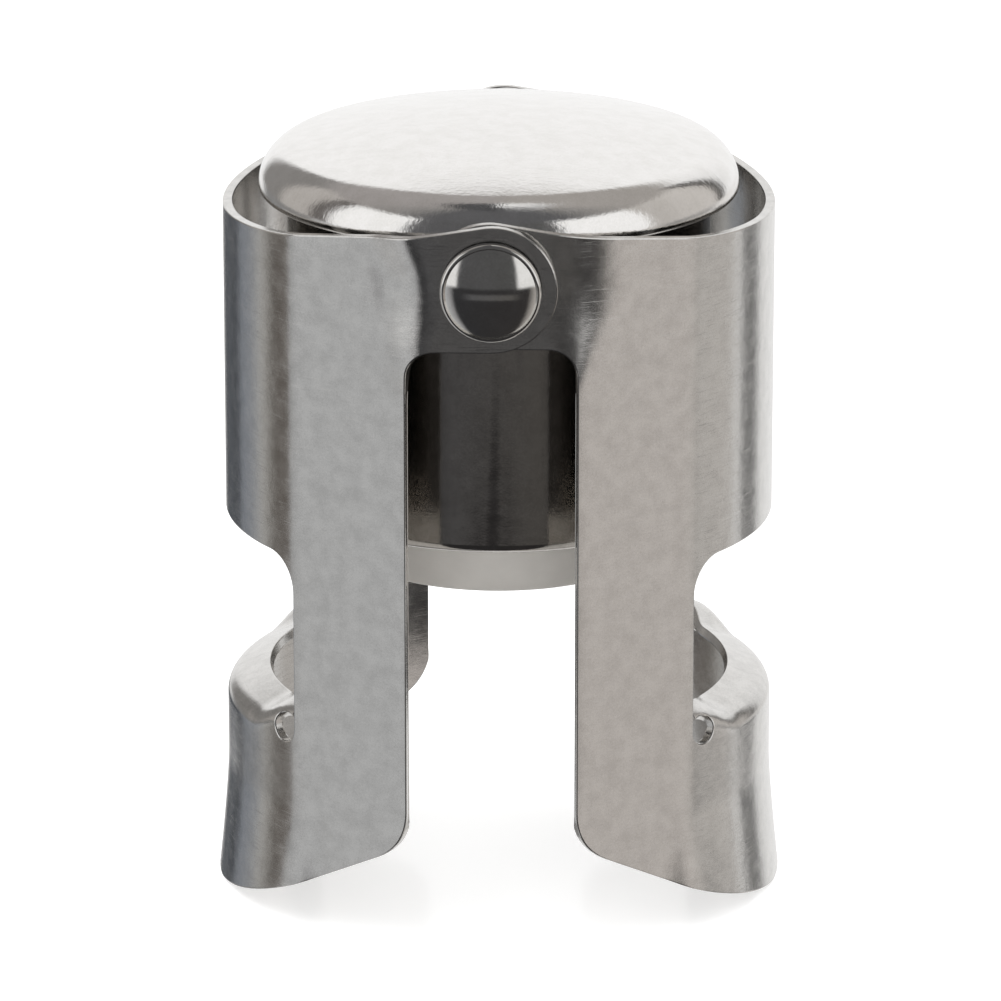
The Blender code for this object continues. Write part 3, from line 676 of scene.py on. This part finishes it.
def formed_outer(station, height):
    """Place of a point of the outer face once the sheet is formed."""
    half = abs(station)
    x, y, angle = plan_at(half, plan_stretches(fold_radius(height)))
    inward, level = lip_bend(half, height)
    out = flare_out(half, height) - inward
    x += out * math.cos(angle)
    y += out * math.sin(angle)
    if station > 0.0:
        return Vector((x, y + joggle_out(half, height), level))
    return Vector((x, -y, level))


def formed(point):
    """Carry a point of the flat sheet to its place, set in along the face's normal."""
    station, height, depth = point
    place = formed_outer(station, height)
    if depth == 0.0:
        return place
    nudge = SHEET * NUDGE_SHARE
    back = math.copysign(nudge, station)
    down = math.copysign(nudge, height - lip_line(abs(station)))
    along = place - formed_outer(station - back, height)
    up = place - formed_outer(station, height - down)
    facing = along.cross(up) * math.copysign(1.0, back * down)
    return place - facing.normalized() * depth


def divide(bm, direction, places):
    """Divide the whole sheet across a direction at each place."""
    for place in places:
        bmesh.ops.bisect_plane(bm, geom=bm.verts[:] + bm.edges[:] + bm.faces[:],
                               dist=MERGE_DISTANCE, plane_co=Vector(direction) * place,
                               plane_no=direction)


def add_arm(name, body, node, turn, material):
    """One arm. Its edges are softened while it is flat, then it is divided and formed."""
    bm = bmesh.new()
    for outline in (half_blank(), ear_end()):
        bm.faces.new([bm.verts.new((s, h, 0.0)) for s, h in outline])
    bmesh.ops.remove_doubles(bm, verts=bm.verts, dist=MERGE_DISTANCE)
    bmesh.ops.mirror(bm, geom=bm.verts[:] + bm.edges[:] + bm.faces[:],
                     matrix=Matrix.Identity(4), merge_dist=MERGE_DISTANCE, axis="X")
    bmesh.ops.recalc_face_normals(bm, faces=bm.faces)
    sheet = bmesh.ops.extrude_face_region(bm, geom=bm.faces[:])
    inner = [item for item in sheet["geom"] if isinstance(item, bmesh.types.BMVert)]
    bmesh.ops.translate(bm, verts=inner, vec=(0.0, 0.0, SHEET))
    bmesh.ops.recalc_face_normals(bm, faces=bm.faces)
    walls = {face for face in bm.faces if abs(face.normal.z) < 0.5}
    edges = [e for e in bm.edges if sum(face in walls for face in e.link_faces) == 1]
    bmesh.ops.bevel(bm, geom=edges, offset=SHEET_EDGE, offset_type="OFFSET", segments=2,
                    profile=0.5, affect="EDGES", material=-1, clamp_overlap=True)

    rows = [ROW_STEP * i for i in range(1, int((PIVOT_HEIGHT + EAR_RADIUS) / ROW_STEP) + 1)]
    rows += [LIP_HEIGHT + LIP_LENGTH * i / LIP_ROWS for i in range(LIP_ROWS)]
    divide(bm, (1, 0, 0), COLUMNS + [-s for s in COLUMNS])
    divide(bm, (0, 1, 0), sorted(rows))
    bmesh.ops.remove_doubles(bm, verts=bm.verts, dist=WELD_DISTANCE)

    flat = bm.verts.layers.float_vector.new("flat_sheet")
    for vert in bm.verts:
        vert[flat] = vert.co
        vert.co = formed(vert.co)
    bmesh.ops.transform(bm, matrix=Matrix.Rotation(turn, 4, "Z"), verts=bm.verts)
    return piece_from(bm, name, body, node, material, crease=SHEET_CREASE)


def dome_face(radius, shoulder, top, centre_height):
    """Crown and shoulder of one face of the dome, from the axis out to its edge."""
    shoulder_x = radius - shoulder
    rise = centre_height - top
    crown = (shoulder ** 2 - shoulder_x ** 2 - rise ** 2) / (2 * (rise + shoulder))
    crown_z = top - crown
    meet = math.atan2(centre_height - crown_z, shoulder_x)
    points = arc((0.0, crown_z), crown, math.pi / 2, meet, 3 * ARC_STEPS)
    points[0] = (0.0, top)
    return points[:-1] + arc((shoulder_x, centre_height), shoulder, meet, 0.0, 2 * ARC_STEPS)


def add_dome(material):
    """Stamped cap with a low crown, a soft shoulder and a rounded edge."""
    top = DOME_EDGE_HEIGHT + DOME_DEPTH + DOME_FULLNESS
    bend_height = DOME_EDGE_HEIGHT + DOME_WALL / 2
    radius = DOME_RADIUS + DOME_FULLNESS
    outer = dome_face(radius, DOME_SHOULDER, top, bend_height)
    inner = dome_face(radius - DOME_WALL, DOME_INNER_SHOULDER, top - DOME_WALL, bend_height)
    edge = arc((radius - DOME_WALL / 2, bend_height), DOME_WALL / 2, 0.0, -math.pi)
    piece_from(turned(outer + edge[1:-1] + inner[::-1]), "pressed_dome", "cup", "dome_cap",
               material)


def add_cup(material):
    """Drawn cup, closed at the top and curled in at the mouth, with two rivet holes."""
    inner_corner = CUP_CORNER - CUP_WALL
    outline = [(0.0, CUP_TOP)]
    outline += arc((CUP_RADIUS - CUP_CORNER, CUP_TOP - CUP_CORNER), CUP_CORNER, math.pi / 2, 0.0)
    outline += rounded_corner((CUP_RADIUS, CUP_TOP), (CUP_RADIUS, MOUTH_HEIGHT),
                              (MOUTH_RADIUS, MOUTH_HEIGHT), CUP_WALL)
    outline += [(MOUTH_RADIUS, MOUTH_HEIGHT), (MOUTH_RADIUS, MOUTH_HEIGHT + CUP_WALL)]
    outline += [(CUP_INNER_RADIUS, MOUTH_HEIGHT + CUP_WALL)]
    outline += arc((CUP_INNER_RADIUS - inner_corner, CUP_TOP - CUP_CORNER), inner_corner,
                   0.0, math.pi / 2)
    outline += [(0.0, CUP_TOP - CUP_WALL)]
    cup = piece_from(turned(outline), "drawn_cup", "cup", "body_cup", material)

    rod = bmesh.new()
    bmesh.ops.create_cone(rod, cap_ends=True, segments=SMALL_ROUND_STEPS, radius1=EYE_RADIUS,
                          radius2=EYE_RADIUS, depth=2 * (CUP_RADIUS + CUTTER_OVERRUN))
    laid_on_pivot(rod, math.pi / 2)
    cutter_mesh = bpy.data.meshes.new("rivet_hole_rod")
    rod.to_mesh(cutter_mesh)
    rod.free()
    cutter = bpy.data.objects.new("rivet_hole_rod", cutter_mesh)
    bpy.context.scene.collection.objects.link(cutter)
    cut = cup.modifiers.new("rivet_holes", "BOOLEAN")
    cut.operation = "DIFFERENCE"
    cut.solver = "EXACT"
    cut.object = cutter
    bpy.context.view_layer.update()
    cup_with_holes = cup.evaluated_get(bpy.context.evaluated_depsgraph_get())
    cup.data = bpy.data.meshes.new_from_object(cup_with_holes)
    cup.modifiers.clear()
    bpy.data.objects.remove(cutter, do_unlink=True)


def add_rivets(material):
    """Polished head with a rounded edge, shank through the bush, tail inside the cup."""
    tail_seat = math.sqrt(CUP_INNER_RADIUS ** 2 - TAIL_RADIUS ** 2) - RUNNING_GAP
    crown_edge = HEAD_RADIUS - HEAD_ROUND
    head_radius = (crown_edge ** 2 + HEAD_CROWN ** 2) / (2 * HEAD_CROWN)
    half_angle = math.asin(crown_edge / head_radius)
    head_base = HEAD_SEAT + HEAD_EDGE
    crown_centre = (0.0, head_base + HEAD_CROWN - head_radius)
    outline = [(0.0, tail_seat - TAIL_LENGTH), (SHANK_RADIUS, tail_seat - TAIL_LENGTH)]
    outline += [(TAIL_RADIUS, tail_seat - TAIL_LENGTH / 2), (TAIL_RADIUS, tail_seat)]
    outline += [(SHANK_RADIUS, tail_seat), (SHANK_RADIUS, HEAD_SEAT), (HEAD_RADIUS, HEAD_SEAT)]
    outline += arc((crown_edge, head_base - HEAD_ROUND / 2), HEAD_ROUND, 0.0, math.pi / 2)
    outline += arc(crown_centre, head_radius, math.pi / 2 - half_angle, math.pi / 2,
                   2 * ARC_STEPS)
    outline[-1] = (0.0, head_base + HEAD_CROWN)
    for side, turn in (("front", math.pi / 2), ("rear", -math.pi / 2)):
        bm = laid_on_pivot(turned(outline, SMALL_ROUND_STEPS), turn)
        piece_from(bm, side + "_rivet_head", "cup", side + "_rivet", material)


def add_bushes(material):
    """Short tubes on the shanks that hold the ears off the cup."""
    inner_end = CUP_RADIUS + RUNNING_GAP
    outer_end = EAR_PLANE - SHEET - RUNNING_GAP
    outline = [(EYE_RADIUS, inner_end), (BUSH_RADIUS - BUSH_CHAMFER, inner_end)]
    outline += [(BUSH_RADIUS, inner_end + BUSH_CHAMFER), (BUSH_RADIUS, outer_end - BUSH_CHAMFER)]
    outline += [(BUSH_RADIUS - BUSH_CHAMFER, outer_end), (EYE_RADIUS, outer_end)]
    for side, turn in (("front", math.pi / 2), ("rear", -math.pi / 2)):
        bm = laid_on_pivot(turned(outline, SMALL_ROUND_STEPS), turn)
        piece_from(bm, side + "_spacer", "cup", side + "_bush", material)


def add_plunger(material):
    """Cup-shaped piston that runs in the steel cup and takes the spring on its floor."""
    bore = STUD_RADIUS + RUNNING_GAP
    ring_outer = SPRING_RADIUS - WIRE_RADIUS - RUNNING_GAP
    ring_top = FLOOR_TOP + SEAT_RING_HEIGHT
    inner_wall = PLUNGER_RADIUS - PLUNGER_WALL
    outline = [(bore, PLUNGER_BOTTOM)]
    outline += rounded_corner((bore, PLUNGER_BOTTOM), (PLUNGER_RADIUS, PLUNGER_BOTTOM),
                              (PLUNGER_RADIUS, PLUNGER_TOP), RUNNING_GAP, 4)
    outline += [(PLUNGER_RADIUS, PLUNGER_TOP), (inner_wall, PLUNGER_TOP)]
    outline += [(inner_wall, FLOOR_TOP), (ring_outer, FLOOR_TOP), (ring_outer, ring_top)]
    outline += [(ring_outer - SEAT_RING_WALL, ring_top), (ring_outer - SEAT_RING_WALL, FLOOR_TOP)]
    outline += [(bore, FLOOR_TOP)]
    piece_from(turned(outline), "moulded_plunger", "plunger", "plunger", material)


def add_seal(material):
    """Soft plug under the plunger, buttoned through its floor."""
    seal_top = PLUNGER_BOTTOM - RUNNING_GAP
    head_bottom = FLOOR_TOP + RUNNING_GAP
    nose = rounded_corner((SEAL_RADIUS, MOUTH_HEIGHT), (SEAL_NOSE_RADIUS, SEAL_BOTTOM),
                          (0.0, SEAL_BOTTOM), SEAL_EDGE)
    outline = [(0.0, head_bottom + STUD_HEAD_HEIGHT)]
    outline += [(STUD_RADIUS, head_bottom + STUD_HEAD_HEIGHT), (STUD_HEAD_RADIUS, head_bottom)]
    outline += [(STUD_RADIUS, head_bottom), (STUD_RADIUS, seal_top), (SEAL_RADIUS, seal_top)]
    outline += [(SEAL_RADIUS, MOUTH_HEIGHT)] + nose + [(0.0, SEAL_BOTTOM)]
    piece_from(turned(outline), "soft_plug", "plunger", "seal", material)


def add_spring(material):
    """Compression spring with closed ends, from the plunger's floor up to the top of the cup."""
    bm = bmesh.new()
    place = Matrix.Translation((SPRING_RADIUS, 0.0, SPRING_BOTTOM))
    wire = bmesh.ops.create_circle(bm, cap_ends=True, radius=WIRE_RADIUS, segments=WIRE_STEPS,
                                   matrix=place @ Matrix.Rotation(math.pi / 2, 4, "X"))
    edges = list(dict.fromkeys(edge for vert in wire["verts"] for edge in vert.link_edges))
    closed_rise = CLOSED_PITCH * WIRE_RADIUS * CLOSED_TURNS
    open_turns = SPRING_TURNS - CLOSED_TURNS
    stretches = ((CLOSED_TURNS, closed_rise),
                 (open_turns, SPRING_TOP - SPRING_BOTTOM - 2 * closed_rise),
                 (CLOSED_TURNS, closed_rise))
    for turns, rise in stretches:
        steps = int(turns * SPRING_STEPS)
        coil = bmesh.ops.spin(bm, geom=edges, axis=(0, 0, 1), cent=(0, 0, 0), steps=steps,
                              dvec=(0.0, 0.0, rise / steps), angle=math.tau * turns)
        edges = [e for e in coil["geom_last"] if isinstance(e, bmesh.types.BMEdge)]
    bmesh.ops.contextual_create(bm, geom=edges)
    spring = piece_from(bm, "closed_spring", "cup", "compression_spring",
                        material, weighted=False)
    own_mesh(spring)


bpy.context.scene.view_settings.view_transform = "Standard"
add_camera()
add_world()
add_floor()
add_lamp()

# Stainless steel sheet, tumbled after pressing: soft reflections, hair scratches at random
tumbled_steel = steel("tumbled_stainless_sheet", "#DCDAD7", "#CAC8C5", roughness=0.19,
                      grain=0.00012, grain_depth=0.000004, peel=0.0009, peel_depth=0.000009,
                      surface="flat_sheet")
# Stainless steel, drawn and then polished: near mirror, with the skin of an orange
polished_steel = steel("polished_stainless_steel", "#F0EEEC", "#E8E6E3", roughness=0.12,
                       grain=0.00016, grain_depth=0.000004, peel=0.0004, peel_depth=0.000009,
                       scratch_share=0.3)
cup_steel = steel("drawn_stainless_cup", "#BDB9B4", "#ABA7A2", roughness=0.12,
                  grain=0.00015, grain_depth=0.000003, peel=0.0012, peel_depth=0.00001)
rivet_steel = steel("polished_rivet_steel", "#DDDBD8", "#D2D0CC", roughness=0.09,
                    grain=0.00020, grain_depth=0.000001, peel=0.0015, peel_depth=0.000006,
                    scratch_share=0.3)
# Steel under a thin layer of zinc: pale, a little blue, duller than the rest
zinc_steel = steel("zinc_plated_steel", "#C9CDD2", "#B7BBC0", roughness=0.30,
                   grain=0.00015, grain_depth=0.000003, peel=0.0010, peel_depth=0.00001)
# Moulded silicone: warm light grey, matt, with the fine texture of its mould
silicone = moulded("moulded_silicone", "#DEDAD4", "#D6D2CC", roughness=0.55, ior=1.43,
                   grain=0.00020, grain_depth=0.000004, sheen=0.1)
# Moulded acetal: black, with a dull shine
acetal = moulded("black_acetal", "#1E1E20", "#161618", roughness=0.40, ior=1.48,
                 grain=0.00030, grain_depth=0.000003)

add_arm("right_side_arm", "right_arm", "right_arm", 0.0, tumbled_steel)
add_arm("left_side_arm", "left_arm", "left_arm", math.pi, tumbled_steel)
add_dome(polished_steel)
add_cup(cup_steel)
add_rivets(rivet_steel)
add_bushes(zinc_steel)
add_plunger(acetal)
add_seal(silicone)
add_spring(zinc_steel)
